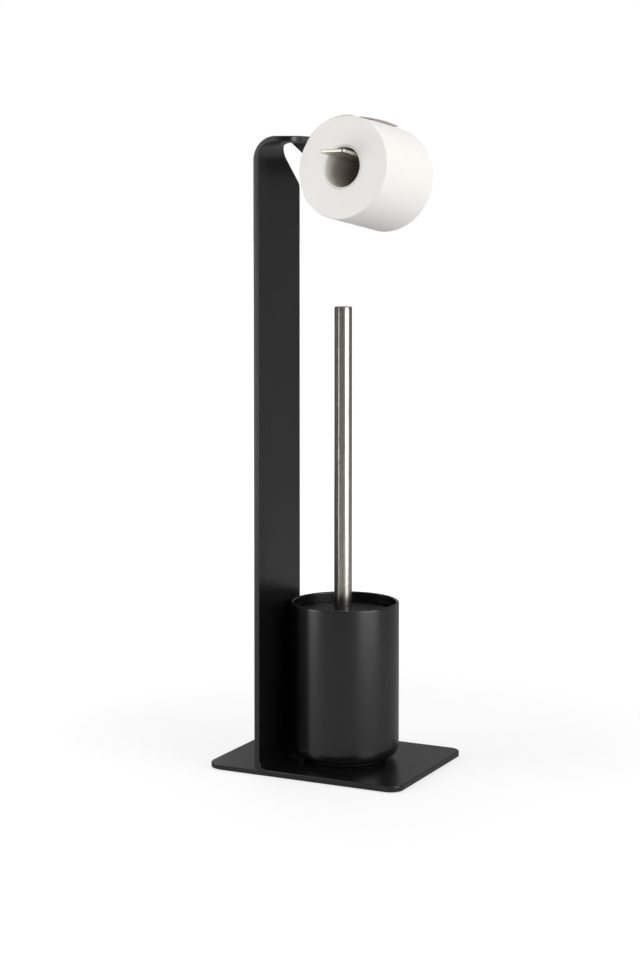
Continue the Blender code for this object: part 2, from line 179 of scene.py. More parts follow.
tree.links.new(behind.outputs["Result"], dim.inputs[1])
mirrored = add(tree, "ShaderNodeBackground", {"Color": (1, 1, 1, 1)}, Strength=dim.outputs["Value"])
spread = add(tree, "ShaderNodeBackground", {"Color": (1, 1, 1, 1), "Strength": FILL})
seen = add(tree, "ShaderNodeBackground", {"Color": (1, 1, 1, 1), "Strength": 1.0})
indoors = add(tree, "ShaderNodeMixShader", None, Fac=rays.outputs["Is Glossy Ray"])
tree.links.new(spread.outputs[0], indoors.inputs[1])
tree.links.new(mirrored.outputs[0], indoors.inputs[2])
both = add(tree, "ShaderNodeMixShader", None, Fac=rays.outputs["Is Camera Ray"])
tree.links.new(indoors.outputs[0], both.inputs[1])
tree.links.new(seen.outputs[0], both.inputs[2])
add(tree, "ShaderNodeOutputWorld", None, Surface=both.outputs[0])


def add_light(name, place, target, width, tall, power):
    """A rectangular soft light that faces its target, with power in watts."""
    light = bpy.data.lights.new(name, "AREA")
    light.shape = "RECTANGLE"
    light.size = width
    light.size_y = tall
    light.energy = power
    lamp = bpy.data.objects.new(name, light)
    bpy.context.scene.collection.objects.link(lamp)
    lamp.location = place
    aim = np.array(target, float) - np.array(place, float)
    lamp.rotation_euler = (math.atan2(math.hypot(aim[0], aim[1]), -aim[2]), 0.0,
                           math.atan2(aim[1], aim[0]) - math.pi / 2)
    return lamp


def around(azimuth, distance, height):
    """A place at an azimuth in degrees from the front towards the right, round the object."""
    angle = math.radians(azimuth)
    return distance * math.sin(angle), -distance * math.cos(angle), height


add_light("top_light", (0.1, -0.1, 2.6), (0, 0, 0.3), 2.4, 2.4, 12)
SIDE_AWAY, SIDE_HEIGHT, SIDE_WIDTH, SIDE_TALL = 1.15, 0.52, 0.86, 1.0
middle = (0, 0, SIDE_HEIGHT)
add_light("left_light", around(-51, SIDE_AWAY, SIDE_HEIGHT), middle, SIDE_WIDTH, SIDE_TALL, 8.2)
add_light("right_light", around(76, SIDE_AWAY, SIDE_HEIGHT), middle, SIDE_WIDTH, SIDE_TALL, 8.4)
add_light("back_light", around(-130, 1.5, 0.7), (0, 0, 0.5), 0.8, 1.2, 2)

CAMERA_PLACE = (0.99485, -2.05037, 0.61419)
CAMERA_YAW = math.radians(26.335)
CAMERA_DIP = math.radians(3.625)
camera_data = bpy.data.cameras.new("camera")
camera_data.lens = 78.75
camera_data.sensor_width = 36.0
camera_data.shift_y = -0.15
camera_data.clip_end = 50.0
camera = bpy.data.objects.new("camera", camera_data)
camera.location = CAMERA_PLACE
camera.rotation_euler = (math.pi / 2 - CAMERA_DIP, 0.0, CAMERA_YAW)
bpy.context.scene.collection.objects.link(camera)
bpy.context.scene.camera = camera
bpy.context.scene.view_settings.view_transform = "Standard"


# Anti-slip mat: a thin sheet of closed-cell EVA foam glued under the base
# plate, so that steel doesn't stand on the tiles. The moulded node is kept.
def coordinates(tree, turn=(0.0, 0.0, 0.0), stretch=(1.0, 1.0, 1.0), kind="Object"):
    """Object or UV coordinates, turned and stretched for a pattern."""
    source = add(tree, "ShaderNodeTexCoord")
    mapping = add(tree, "ShaderNodeMapping", {"Rotation": turn, "Scale": stretch},
                  Vector=source.outputs[kind])
    return mapping.outputs["Vector"]


def noise(tree, vector, size, detail=3.0, roughness=0.5):
    """Noise whose lumps are about size metres across."""
    return add(tree, "ShaderNodeTexNoise",
               {"Scale": 1.0 / size, "Detail": detail, "Roughness": roughness}, Vector=vector)


def shade_between(tree, shader, factor, low, high, start=0.35, end=0.65):
    """Base colour that goes from one sRGB hex colour to another as factor goes from start to end."""
    ramp = add(tree, "ShaderNodeValToRGB", None, Fac=factor)
    ramp.color_ramp.elements[0].position = start
    ramp.color_ramp.elements[1].position = end
    ramp.color_ramp.elements[0].color = linear(low)
    ramp.color_ramp.elements[1].color = linear(high)
    tree.links.new(ramp.outputs["Color"], shader.inputs["Base Color"])
    return ramp


def vary(tree, factor, low, high, socket):
    """A number from low to high, as factor goes from 0.3 to 0.7, on a socket."""
    span = add(tree, "ShaderNodeMapRange",
               {"From Min": 0.3, "From Max": 0.7, "To Min": low, "To Max": high}, Value=factor)
    tree.links.new(span.outputs["Result"], socket)


def relief(tree, shader, factor, height, strength=1.0, below=None):
    """Bump of a height in metres, laid over the relief below it."""
    bump = add(tree, "ShaderNodeBump", {"Distance": height, "Strength": strength}, Height=factor)
    if below:
        tree.links.new(below.outputs["Normal"], bump.inputs["Normal"])
    tree.links.new(bump.outputs["Normal"], shader.inputs["Normal"])
    return bump


def dress(piece, finish):
    """Gives a piece or a CAD node one material on all its faces."""
    piece.data.materials.clear()
    piece.data.materials.append(finish)


# EVA foam: closed cells under a sliced skin, black and dull, with fine pits.
foam, tree, shader = material("eva_foam", 0.92)
cells = noise(tree, coordinates(tree), 0.7 * MM, 2.0)
shade_between(tree, shader, cells.outputs["Fac"], "#0d0d0e", "#17171a")
relief(tree, shader, cells.outputs["Fac"], 0.15 * MM)
dress(frame["nodes"]["base_mat"], foam)


# Base plate: laser-cut 6 mm mild steel with its edges dressed round, blasted
# and powder coated satin black. Its weight keeps the tall holder upright.
def round_corners(corners, steps=10):
    """An outline through (x, y, radius) corners, each turned into an arc tangent to its two sides."""
    corners = np.asarray(corners, float)
    outline = []
    for k, (x, y, radius) in enumerate(corners):
        here = np.array([x, y])
        to_last = corners[k - 1, :2] - here
        to_next = corners[(k + 1) % len(corners), :2] - here
        to_last /= np.linalg.norm(to_last)
        to_next /= np.linalg.norm(to_next)
        half = math.acos(np.clip(to_last @ to_next, -1, 1)) / 2
        if radius == 0:
            outline.append(here[None, :])
            continue
        middle = to_last + to_next
        centre = here + middle / np.linalg.norm(middle) * radius / math.sin(half)
        swing = math.pi - 2 * half
        angle = np.linspace(-swing / 2, swing / 2, steps + 1)[:, None]
        inward = -middle / np.linalg.norm(middle)
        sideways = to_next - (to_next @ inward) * inward
        sideways /= np.linalg.norm(sideways)
        outline.append(centre + radius * (inward * np.cos(angle) + sideways * np.sin(angle)))
    return np.concatenate(outline)


def plate_skin(outline, thick, edge, steps=4):
    """A flat plate about Z = 0, its edge profile carried round the outline.

    The profile is a quarter circle of radius edge from the top face to the
    side and one back to the lower face. Each outline point is moved inwards
    along the outline's normal by the profile's inset. Two big faces close it.
    """
    ahead = np.roll(outline, -1, 0) - outline
    ahead /= np.linalg.norm(ahead, axis=1)[:, None]
    behind = np.roll(ahead, 1, 0)
    normal = np.stack([ahead[:, 1] + behind[:, 1], -ahead[:, 0] - behind[:, 0]], 1)
    length = np.linalg.norm(normal, axis=1)[:, None]
    normal /= length
    miter = 2 / length
    x, y = outline.T
    area = np.sum(x * np.roll(y, -1) - y * np.roll(x, -1))
    if area < 0:
        outline, normal, miter = outline[::-1], -normal[::-1], miter[::-1]
    angle = np.linspace(0, math.pi / 2, steps + 1)
    inset = np.r_[edge * (1 - np.sin(angle)), edge * (1 - np.cos(angle))]
    level = np.r_[thick / 2 - edge * (1 - np.cos(angle)), -thick / 2 + edge * (1 - np.sin(angle))]
    place = outline[:, None, :] - (normal * miter)[:, None, :] * inset[None, :, None]
    points = np.concatenate([place, np.broadcast_to(level[None, :, None], (*place.shape[:2], 1))], 2)
    rows, columns = place.shape[:2]
    sides = grid_faces(rows, columns, wrap_rows=True)
    top = np.arange(rows) * columns
    bottom = (np.arange(rows) * columns + columns - 1)[::-1]
    return points.reshape(-1, 3), [*sides, top, bottom]


def flat_shading(piece):
    """Weights the normals by face area, so that big faces stay flat up to their round edges."""
    weighted = piece.modifiers.new("flat_faces", "WEIGHTED_NORMAL")
    weighted.weight = 50
    weighted.keep_sharp = True


# Satin powder coat: polyester baked on blasted steel. It flows into a faint
# orange peel with a fine grit in it, near black, with soft wide highlights.
powder, tree, shader = material("satin_powder_coat", 0.28, ior=1.7)
vector = coordinates(tree)
flow = noise(tree, vector, 1.6 * MM, 2.0)
grit = noise(tree, vector, 0.35 * MM, 2.0)
haze = noise(tree, vector, 60 * MM, 0.0)
shade_between(tree, shader, haze.outputs["Fac"], "#0b0b0c", "#0d0d0e", 0.1, 0.9)
vary(tree, haze.outputs["Fac"], 0.25, 0.265, shader.inputs["Roughness"])
orange_peel = relief(tree, shader, flow.outputs["Fac"], 0.035 * MM, 0.35)
relief(tree, shader, grit.outputs["Fac"], 0.012 * MM, 0.3, orange_peel)

low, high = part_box("base_plate")
PLATE_CORNER = 14.0 * MM
PLATE_EDGE = 1.2 * MM
plate_outline = round_corners([(low.x, low.y, PLATE_CORNER), (high.x, low.y, PLATE_CORNER),
                               (high.x, high.y, PLATE_CORNER), (low.x, high.y, PLATE_CORNER)])
points, faces = plate_skin(plate_outline, high.z - low.z, PLATE_EDGE)
base_plate = skin("base_plate_coated", points + [0, 0, (low.z + high.z) / 2], faces)
flat_shading(base_plate)
dress(base_plate, powder)
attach(base_plate, "frame")
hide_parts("base_plate")
BASE_TOP = high.z


# Strip: one 6 mm steel blank with a relief notch, folded over at the top. The
# limb beside the notch is bent down and levelled again to meet the bar, and
# the whole is powder coated after bending, which softens its laser-cut edges.
low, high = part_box("frame_strip")
STRIP_THICK = 6.0 * MM
STRIP_WIDTH = 98.0 * MM
STRIP_EDGE = 0.9 * MM
FOLD_RADIUS = 22.5 * MM
NECK_DEPTH = 42.0 * MM
NOTCH_FOOT = 634.5 * MM
NOTCH_TOP = 678.5 * MM
LIMB_LEFT, LIMB_RIGHT = 16.0 * MM, 44.0 * MM
ARM_RIGHT = 133.0 * MM
BRIDGE = 44.0 * MM
DROP_START = 42.5 * MM
DROP_ANGLE = math.radians(22.5)
DROP_RADIUS = 13.0 * MM
SEAT_DEPTH = 34.0 * MM
ROLL_TILT = math.radians(8.7)
ROLL_YAW = math.radians(7.6)
BAR_RISE = 14.8 * MM
FOOT_ROUND, NOTCH_ROUND, NOSE_ROUND = 8.0 * MM, 3.5 * MM, 20.0 * MM
INNER_ROUND, OUTER_ROUND = 14.0 * MM, 12.0 * MM
STRIP_LEFT, STRIP_FOOT, STRIP_TOP = low.x, low.z, high.z

roll_joint = next(j for j in frame["joints"] if j["name"] == "roll_spin")
ROLL_NEAR = np.array(roll_joint["pos_m"])
roll_along = np.array([math.sin(ROLL_YAW), math.cos(ROLL_YAW) * math.cos(ROLL_TILT),
                       -math.cos(ROLL_YAW) * math.sin(ROLL_TILT)])
roll_up = np.array([0.0, math.sin(ROLL_TILT), math.cos(ROLL_TILT)])
ROLL_AXES = np.stack([np.cross(roll_along, roll_up), roll_along, roll_up])


def arm_path(depth, slope):
    """Places (y, z) and slope angles of the limb's middle layer at depths along it.

    It runs level to DROP_START, turns down by DROP_ANGLE on an arc, runs
    straight for the slope's length and turns back to the roll's own tilt.
    """
    turn_in = DROP_ANGLE * DROP_RADIUS
    turn_out = (DROP_ANGLE - ROLL_TILT) * DROP_RADIUS
    first = np.clip(depth - DROP_START, 0, turn_in) / DROP_RADIUS
    straight = np.clip(depth - DROP_START - turn_in, 0, slope)
    second = np.clip(depth - DROP_START - turn_in - slope, 0, turn_out) / DROP_RADIUS
    rest = np.clip(depth - DROP_START - turn_in - slope - turn_out, 0, None)
    angle = first - second
    y = np.clip(depth, None, DROP_START) + DROP_RADIUS * np.sin(first) + straight * math.cos(DROP_ANGLE)
    y += DROP_RADIUS * (math.sin(DROP_ANGLE) - np.sin(DROP_ANGLE - second)) + rest * math.cos(ROLL_TILT)
    z = -DROP_RADIUS * (1 - np.cos(first)) - straight * math.sin(DROP_ANGLE)
    z -= DROP_RADIUS * (np.cos(DROP_ANGLE - second) - math.cos(DROP_ANGLE)) + rest * math.sin(ROLL_TILT)
    return y, z + STRIP_TOP - STRIP_THICK / 2, angle


seat_y, seat_z, _ = arm_path(np.array(DROP_START + (2 * DROP_ANGLE - ROLL_TILT) * DROP_RADIUS), 0.0)
seat_rise = (np.array([seat_y + FRONT, seat_z]) - ROLL_NEAR[1:]) @ roll_up[1:]
slope_length = (seat_rise - BAR_RISE - STRIP_THICK / 2 - 0.3 * MM) / math.sin(DROP_ANGLE - ROLL_TILT)

fold = STRIP_TOP - STRIP_THICK / 2 - FOLD_RADIUS - STRIP_FOOT
fold_length = FOLD_RADIUS * math.pi / 2
flat_x = fold + fold_length - (FOLD_RADIUS - STRIP_THICK / 2)
notch = math.asin((NOTCH_TOP - STRIP_FOOT - fold) / FOLD_RADIUS) * FOLD_RADIUS
bend_in = DROP_START + DROP_ANGLE * DROP_RADIUS
bend_out = bend_in + slope_length
seat = bend_out + (DROP_ANGLE - ROLL_TILT) * DROP_RADIUS
back = seat + SEAT_DEPTH
blank_outline = round_corners([
    (0.0, 0.0, 0.5 * MM), (0.0, STRIP_WIDTH, 0.5 * MM),
    (NOTCH_FOOT - STRIP_FOOT, STRIP_WIDTH, FOOT_ROUND), (fold + notch, NECK_DEPTH, NOTCH_ROUND),
    (flat_x + LIMB_LEFT, NECK_DEPTH, NOTCH_ROUND), (flat_x + LIMB_LEFT, back, INNER_ROUND),
    (flat_x + ARM_RIGHT, back, OUTER_ROUND), (flat_x + ARM_RIGHT, back - BRIDGE, OUTER_ROUND),
    (flat_x + LIMB_RIGHT, back - BRIDGE, INNER_ROUND), (flat_x + LIMB_RIGHT, 0.0, NOSE_ROUND)])
points, faces = plate_skin(blank_outline, STRIP_THICK, STRIP_EDGE)
strip = skin("strip_bent", points, faces)

blank = bmesh.new()
blank.from_mesh(strip.data)
creases = [((fold + fold_length * k / 32, 0, 0), (1, 0, 0)) for k in range(33)]
for start, end in ((DROP_START, bend_in), (bend_out, seat)):
    creases += [((0, start + (end - start) * k / 8, 0), (0, 1, 0)) for k in range(9)]
for point, normal in creases:
    bmesh.ops.bisect_plane(blank, geom=blank.verts[:] + blank.edges[:] + blank.faces[:],
                           dist=0.001 * MM, plane_co=point, plane_no=normal)
blank.to_mesh(strip.data)
blank.free()

flat = np.empty(len(strip.data.vertices) * 3)
strip.data.vertices.foreach_get("co", flat)
along, across, through = flat.reshape(-1, 3).T
angle = np.clip((along - fold) / FOLD_RADIUS, 0, math.pi / 2)
radius = FOLD_RADIUS + through
past_fold = np.clip(along - fold - fold_length, 0, None)
x = FOLD_RADIUS + STRIP_THICK / 2 - radius * np.cos(angle) + past_fold
z = np.clip(along, None, fold) + radius * np.sin(angle) + STRIP_FOOT
path_y, path_z, dip = arm_path(across, slope_length)
on_limb = along > fold + 25 * MM
y = np.where(on_limb, path_y + through * np.sin(dip), across)
z = np.where(on_limb, path_z + (z - STRIP_TOP + STRIP_THICK / 2) * np.cos(dip), z)
bent = np.stack([x + STRIP_LEFT, y + FRONT, z], 1)
strip.data.vertices.foreach_set("co", bent.ravel())
flat_shading(strip)
dress(strip, powder)
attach(strip, "frame")
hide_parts("frame_strip")


# Foot weld: a fillet along the strip's right side, ground smooth and flush at
# both ends, so that strip and plate read as one piece under the coating.
FILLET = 8.5 * MM
FILLET_END = 0.9 * MM
ROOT_IN, ROOT_DOWN = 1.2 * MM, 1.4 * MM
low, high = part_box("foot_weld")
corner_x, corner_z = STRIP_LEFT + STRIP_THICK, BASE_TOP
swing = np.radians(np.linspace(180, 270, 17))[None, :]
edge = np.radians(np.linspace(0, 90, 5))[:, None]
weld_length = high.y - low.y
in_from_end = np.concatenate([FILLET_END * (1 - np.cos(edge)),
                              weld_length - FILLET_END * (1 - np.cos(edge[::-1]))])
sunk = FILLET_END * (1 - np.sin(np.concatenate([edge, edge[::-1]])))
radius = FILLET + sunk
x = corner_x + FILLET + radius * np.cos(swing)
z = corner_z + FILLET + radius * np.sin(swing)
fillet_points = np.stack(np.broadcast_arrays(x, low.y + in_from_end, z), 2)
root = np.broadcast_to([corner_x - ROOT_IN, 0.0, corner_z - ROOT_DOWN], (17, 3))
front_root, back_root = root + [0, low.y, 0], root + [0, high.y, 0]
weld_points = np.concatenate([front_root[None], fillet_points, back_root[None]])
weld = surface("foot_weld_ground", weld_points[:, ::-1])
flat_shading(weld)
dress(weld, powder)
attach(weld, "frame")
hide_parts("foot_weld")


# Bar: a tongue of 3.2 mm stainless flat, polished along its length with a fine
# belt, its tip rounded so that it enters the core. Two button-head screws
# clamp its tail under the arm.
BAR_WIDTH = 30.0 * MM
BAR_THICK = 3.2 * MM
BAR_TIP = -22.5 * MM
BAR_TAIL = 152.0 * MM


def in_roll_frame(points):
    """Points (sideways, along, up) of the roll's own frame, in the row frame."""
    return np.asarray(points) @ ROLL_AXES + ROLL_NEAR


def brushed_steel(name, low, high, stretch, roughness):
    """Belt-brushed 304 stainless: fine streaks that run along the axis with the smallest stretch."""
    finish, tree, shader = material(name, roughness, metallic=1.0)
    vector = coordinates(tree, (ROLL_TILT, 0, ROLL_YAW) if "bar" in name else (0, 0, 0), stretch)
    streaks = noise(tree, vector, 0.5 * MM, 3.0, 0.6)
    shade_between(tree, shader, streaks.outputs["Fac"], low, high, 0.3, 0.7)
    vary(tree, streaks.outputs["Fac"], roughness - 0.06, roughness + 0.08, shader.inputs["Roughness"])
    relief(tree, shader, streaks.outputs["Fac"], 0.01 * MM, 0.3)
    return finish


bar_steel = brushed_steel("brushed_stainless_bar", "#c9c5be", "#dedad3", (1, 0.02, 1), 0.34)
half = BAR_WIDTH / 2
points, faces = plate_skin(round_corners([
    (-half, BAR_TIP, 3 * MM), (half, BAR_TIP, 3 * MM),
    (half, BAR_TAIL, 3 * MM), (-half, BAR_TAIL, 3 * MM)]), BAR_THICK, 0.6 * MM)
bar = skin("roll_bar_brushed", in_roll_frame(points + [0, 0, BAR_RISE - BAR_THICK / 2]), faces)
flat_shading(bar)
dress(bar, bar_steel)
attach(bar, "frame")
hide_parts("roll_bar")

# Tumbled stainless: cold-headed screws polished in a barrel, bright but grainy.
screw_steel, tree, shader = material("tumbled_stainless", 0.3, metallic=1.0)
grain = noise(tree, coordinates(tree), 0.6 * MM)
shade_between(tree, shader, grain.outputs["Fac"], "#a5a29d", "#bab7b1")
vary(tree, grain.outputs["Fac"], 0.24, 0.36, shader.inputs["Roughness"])
for name in ("bar_screw_1", "bar_screw_2"):
    dress(frame["nodes"][name], screw_steel)


# Core: a tube of two plies of grey cardboard wound on a slant, which leaves a
# spiral seam. Its inside has painted light at the mouth and painted shade deeper in.
ROLL_RADIUS = 54.6 * MM
ROLL_LENGTH = 93.0 * MM
CORE_RADIUS = 23.0 * MM
CORE_BORE = 21.4 * MM
PLY_WIDTH = 62.0 * MM
SEAM_WIDTH = 0.9 * MM
# Painted light on the core's inside: near white up to the first depth from the mouth, fading to the
# board's own colour by the second.
PAINTED_LIGHT_FROM, PAINTED_LIGHT_DEPTH = 1.5 * MM, 52.0 * MM
TURN_UP = np.eye(3)
TURN_ROLL = np.stack([ROLL_AXES[0], ROLL_AXES[2], -ROLL_AXES[1]])


def supported(profile, closed, margin=0.4 * MM):
    """A profile with a point added close to both ends of each long straight.

    Smooth shading then turns only at the corners, and the straights stay flat.
    """
    ahead = np.roll(profile, -1, 0) - profile
    length = np.linalg.norm(ahead, axis=1)
    long = length > 4 * margin
    long[-1] &= closed
    step = ahead / np.maximum(length, margin)[:, None] * margin
    points = np.stack([profile, profile + step, np.roll(profile, -1, 0) - step], 1)
    return points[np.stack([np.ones_like(long), long, long], 1)]


def turned(name, profile, centre, axes=TURN_UP, closed=False, steps=128):
    """A (radius, height) profile, run down its outer side, turned about an axis.

    A point is the centre, plus the radius times cos and sin of the angle
    along the first two axes, plus the height along the third. Its u is the
    arc at the largest radius and its v the way along the profile, in metres.
    """
    profile = supported(np.asarray(profile), closed)
    angle = np.linspace(0, 2 * math.pi, steps + 1)[:, None]
    radius, height = profile[None, :, 0], profile[None, :, 1]
    local = np.stack(np.broadcast_arrays(radius * np.cos(angle), radius * np.sin(angle), height), 2)
    run = np.r_[0, np.cumsum(np.linalg.norm(np.diff(profile, axis=0), axis=1))]
    uv = np.stack(np.broadcast_arrays(angle * profile[:, 0].max(), run[None, :]), 2)
    return surface(name, local @ axes + np.asarray(centre), closed, uv)


core_profile = round_corners([
    (CORE_RADIUS, 0.0, 0.4 * MM), (CORE_RADIUS, -ROLL_LENGTH + 0.3 * MM, 0.4 * MM),
    (CORE_BORE, -ROLL_LENGTH + 0.3 * MM, 0.4 * MM), (CORE_BORE, 0.0, 0.4 * MM)], 4)
core = turned("cardboard_core", core_profile, ROLL_NEAR, TURN_ROLL, True)
# Spiral cardboard: recycled grey-brown board, dull and fibrous, its plies' edges
# a quarter of a millimetre proud.
board, tree, shader = material("spiral_cardboard", 0.9)
vector = coordinates(tree, kind="UV")
split = add(tree, "ShaderNodeSeparateXYZ", None, Vector=vector)
pitch = 2 * math.pi * CORE_RADIUS
slant = add(tree, "ShaderNodeMath", {"operation": "MULTIPLY"})
slant.inputs[1].default_value = PLY_WIDTH / pitch
tree.links.new(split.outputs["X"], slant.inputs[0])
spiral = add(tree, "ShaderNodeMath", {"operation": "ADD"})
tree.links.new(slant.outputs[0], spiral.inputs[0])
tree.links.new(split.outputs["Y"], spiral.inputs[1])
ply = add(tree, "ShaderNodeMath", {"operation": "PINGPONG"})
ply.inputs[1].default_value = PLY_WIDTH / 2
tree.links.new(spiral.outputs[0], ply.inputs[0])
seam = add(tree, "ShaderNodeMapRange",
           {"From Min": 0.0, "From Max": SEAM_WIDTH, "To Min": 0.0, "To Max": 1.0},
           Value=ply.outputs[0])
fibre = noise(tree, coordinates(tree), 1.2 * MM, 5.0, 0.65)
shades = shade_between(tree, shader, fibre.outputs["Fac"], "#8a7868", "#9d8b7b")
place = add(tree, "ShaderNodeTexCoord")
from_mouth = add(tree, "ShaderNodeVectorMath", {"operation": "SUBTRACT"})
from_mouth.inputs[1].default_value = ROLL_NEAR
inward = add(tree, "ShaderNodeVectorMath", {"operation": "DOT_PRODUCT"})
inward.inputs[1].default_value = ROLL_AXES[1]
tree.links.new(place.outputs["Object"], from_mouth.inputs[0])
tree.links.new(from_mouth.outputs["Vector"], inward.inputs[0])
# Painted light and shade: the base colour is near white at the mouth and darkens inwards, standing in
# for light that falls into the tube.
painted_light_fade = add(tree, "ShaderNodeMapRange",
           {"From Min": PAINTED_LIGHT_FROM, "From Max": PAINTED_LIGHT_DEPTH, "To Min": 1.0, "To Max": 0.0},
           Value=inward.outputs["Value"])
painted_light_colour = add(tree, "ShaderNodeMixRGB", {"Color2": linear("#eeebe6")},
            Fac=painted_light_fade.outputs["Result"], Color1=shades.outputs["Color"])
tree.links.new(painted_light_colour.outputs["Color"], shader.inputs["Base Color"])
fuzz = relief(tree, shader, fibre.outputs["Fac"], 0.1 * MM, 0.6)
relief(tree, shader, seam.outputs["Result"], 0.25 * MM, 1.0, fuzz)
dress(core, board)
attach(core, "roll")
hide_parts("paper_core")


# Paper roll: about two hundred turns of soft two-ply tissue. The cut ends
# show the turns as faint rings that stand a little uneven, and the outside has
# small embossed dots. Its last turns are slack and rise a little at the top.
WOUND_EDGE = 1.4 * MM
RING_PITCH = 0.9 * MM
DOT_PITCH = 5.0 * MM
LOOSE_RISE = 4.0 * MM
LOOSE_MIDDLE, LOOSE_SPREAD = math.radians(104), 0.62

outer = round_corners([
    (ROLL_RADIUS, 0.0, WOUND_EDGE), (ROLL_RADIUS, -ROLL_LENGTH, WOUND_EDGE),
    (CORE_RADIUS + 0.3 * MM, -ROLL_LENGTH, 0.5 * MM), (CORE_RADIUS + 0.3 * MM, 0.0, 0.5 * MM)], 6)
corner = len(outer) // 4
face = np.linspace(outer[-1, 0], outer[0, 0], 80)[1:-1]
near_face = np.stack([face, np.zeros_like(face)], 1)
far_face = np.stack([face[::-1], np.full_like(face, -ROLL_LENGTH)], 1)
side = np.linspace(outer[corner - 1, 1], outer[corner, 1], 40)[1:-1]
side_run = np.stack([np.full_like(side, ROLL_RADIUS), side], 1)
roll_profile = np.concatenate([outer[:corner], side_run, outer[corner:2 * corner], far_face,
                               outer[2 * corner:], near_face])
angle = np.linspace(0, 2 * math.pi, 193)[:, None]
radius, height = roll_profile[None, :, 0], roll_profile[None, :, 1]
turns = radius / RING_PITCH + angle / (2 * math.pi)
uneven = np.sin(2.1 * turns) + 0.8 * np.sin(0.77 * turns + 1.3) + 0.6 * np.sin(0.31 * turns + 4.0)
inside = np.clip((ROLL_RADIUS - radius) / (4 * MM), 0, 1)
inside = inside * np.clip((radius - CORE_RADIUS) / (3 * MM), 0, 1)
at_near = np.clip(1 + height / (1 * MM), 0, 1)
height = height - 0.03 * MM * uneven * inside * at_near - 0.1 * MM * inside * at_near
slack = 0.16 * MM * np.sin(3 * angle + 0.6) + 0.1 * MM * np.sin(7 * angle)
radius = radius + slack * np.clip((radius - 0.6 * ROLL_RADIUS) / (0.4 * ROLL_RADIUS), 0, 1)
belly = np.sin(0.68 * math.pi * np.clip(-height / ROLL_LENGTH - 0.08, 0, 1) / 0.92)
raised = LOOSE_RISE * belly * np.exp(-((angle - LOOSE_MIDDLE) / LOOSE_SPREAD) ** 2)
radius = radius + raised * np.clip((radius - 0.9 * ROLL_RADIUS) / (0.1 * ROLL_RADIUS), 0, 1)
local = np.stack(np.broadcast_arrays(radius * np.cos(angle), radius * np.sin(angle), height), 2)
run = np.r_[0, np.cumsum(np.linalg.norm(np.diff(roll_profile, axis=0), axis=1))]
uv = np.stack(np.broadcast_arrays(angle * ROLL_RADIUS, run[None, :]), 2)
roll = surface("tissue_roll", local @ TURN_ROLL + ROLL_NEAR, True, uv)


def tissue(name, turn_rings):
    """Two-ply tissue: soft fibre, with embossed dots on the sheet or fine rings on the cut ends."""
    finish, tree, shader = material(name, 0.95)
    shader.inputs["Sheen Weight"].default_value = 0.15
    shader.inputs["Specular IOR Level"].default_value = 0.25
    fibre = noise(tree, coordinates(tree), 1.1 * MM, 5.0, 0.6)
    shade_between(tree, shader, fibre.outputs["Fac"], "#f1ede9", "#f4f1ee")
    fuzz = relief(tree, shader, fibre.outputs["Fac"], 0.12 * MM, 0.5)
    if turn_rings:
        vector = coordinates(tree, kind="UV", stretch=(0.02, 1, 1))
        rings = noise(tree, vector, RING_PITCH, 2.0, 0.7)
        relief(tree, shader, rings.outputs["Fac"], 0.12 * MM, 0.5, fuzz)
    else:
        dots = add(tree, "ShaderNodeTexVoronoi", {"Scale": 1 / DOT_PITCH, "Randomness": 0.15},
                   Vector=coordinates(tree, (0, 0, math.radians(45)), kind="UV"))
        dimple = add(tree, "ShaderNodeMapRange", {"From Min": 0.12, "From Max": 0.3},
                     Value=dots.outputs["Distance"])
        relief(tree, shader, dimple.outputs["Result"], 0.1 * MM, 0.5, fuzz)
    return finish


sheet_tissue = tissue("embossed_tissue", False)
dress(roll, sheet_tissue)
roll.data.materials.append(tissue("cut_tissue_ends", True))
middle = np.empty(len(roll.data.polygons) * 3)
roll.data.polygons.foreach_get("center", middle)
reach = (middle.reshape(-1, 3) - ROLL_NEAR) @ ROLL_AXES[1]
away = np.linalg.norm(middle.reshape(-1, 3) - ROLL_NEAR - reach[:, None] * ROLL_AXES[1], axis=1)
roll.data.polygons.foreach_set("material_index", (away < ROLL_RADIUS - WOUND_EDGE * 0.6).astype(int))
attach(roll, "roll")
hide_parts("toilet_paper")


# Loose end: the last turn of the sheet. It lies on the roll at the near side
# and bellies up towards the far side, where its torn edge stands off.
END_ANGLE = math.radians(82)
END_LENGTH = math.radians(66)
END_LIFT = 5.6 * MM
END_THICK = 0.25 * MM
way = np.linspace(0, 1, 60)[:, None]
across = np.linspace(0, 1, 90)[None, :]
angle = END_ANGLE + END_LENGTH * (1 - way) + 0.006 * np.sin(across * 90) * way ** 8
lift = END_LIFT * np.sin(0.68 * math.pi * np.clip(across - 0.08, 0, 1) / 0.92) * way ** 1.7
radius = ROLL_RADIUS + 0.3 * MM + lift + 0 * across
depth = -0.6 * MM - (ROLL_LENGTH - 1.2 * MM) * across
local = np.stack(np.broadcast_arrays(radius * np.cos(angle), radius * np.sin(angle), depth), 2)
uv = np.stack(np.broadcast_arrays(angle * ROLL_RADIUS, across * ROLL_LENGTH), 2)
loose = surface("tissue_loose_end", local[::-1] @ TURN_ROLL + ROLL_NEAR, uv=uv[::-1])
thick = loose.modifiers.new("sheet", "SOLIDIFY")
thick.thickness = END_THICK
thick.offset = 0.0
dress(loose, sheet_tissue)
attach(loose, "roll")
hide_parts("toilet_paper")


